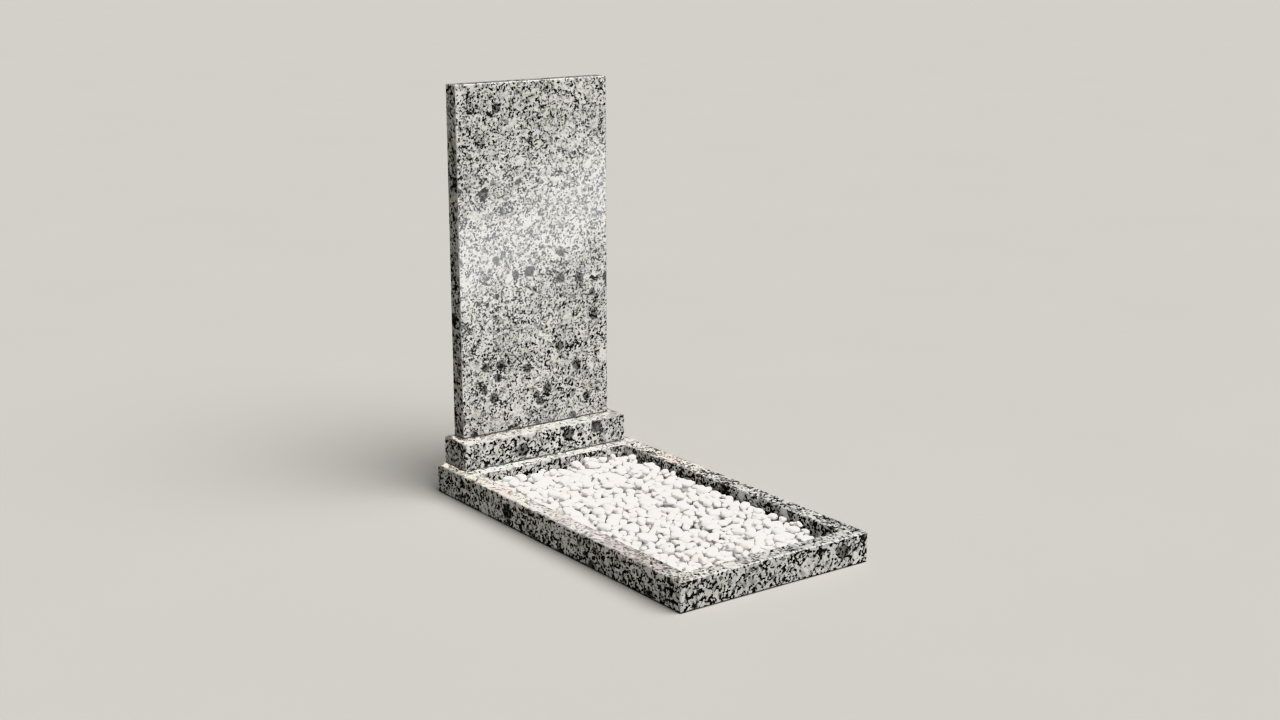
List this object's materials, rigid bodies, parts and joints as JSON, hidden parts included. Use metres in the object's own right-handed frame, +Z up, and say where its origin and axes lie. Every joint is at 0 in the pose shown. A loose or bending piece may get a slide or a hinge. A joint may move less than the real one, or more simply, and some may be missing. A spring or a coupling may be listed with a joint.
{
  "type": "upright headstone",
  "caption": "Upright granite slab on a plinth, at the head of a low granite kerb filled with loose white pebbles, which marks and borders a grave.",
  "frame": {"origin": "middle of the kerb's underside, on the ground", "axes": "+Z up, +Y towards the head end where the slab stands, +X to the right seen from the foot; the slab's face looks along -Y"},
  "size_m": [0.6, 1.15, 1.1606],
  "materials": {
    "slab_granite": "polished, white and grey with black speckle",
    "plinth_granite": "polished, white and grey with black speckle",
    "kerb_granite": "polished, white and grey with black speckle",
    "white_pebbles": "smooth tumbled white marble, matt"
  },
  "bodies": {
    "root": {"headstone_slab": "slab_granite", "plinth": "plinth_granite", "kerb_head_block": "kerb_granite", "kerb_left_rail": "kerb_granite", "kerb_right_rail": "kerb_granite", "kerb_foot_rail": "kerb_granite", "pebble_bed": "white_pebbles"}
  },
  "joints": []
}
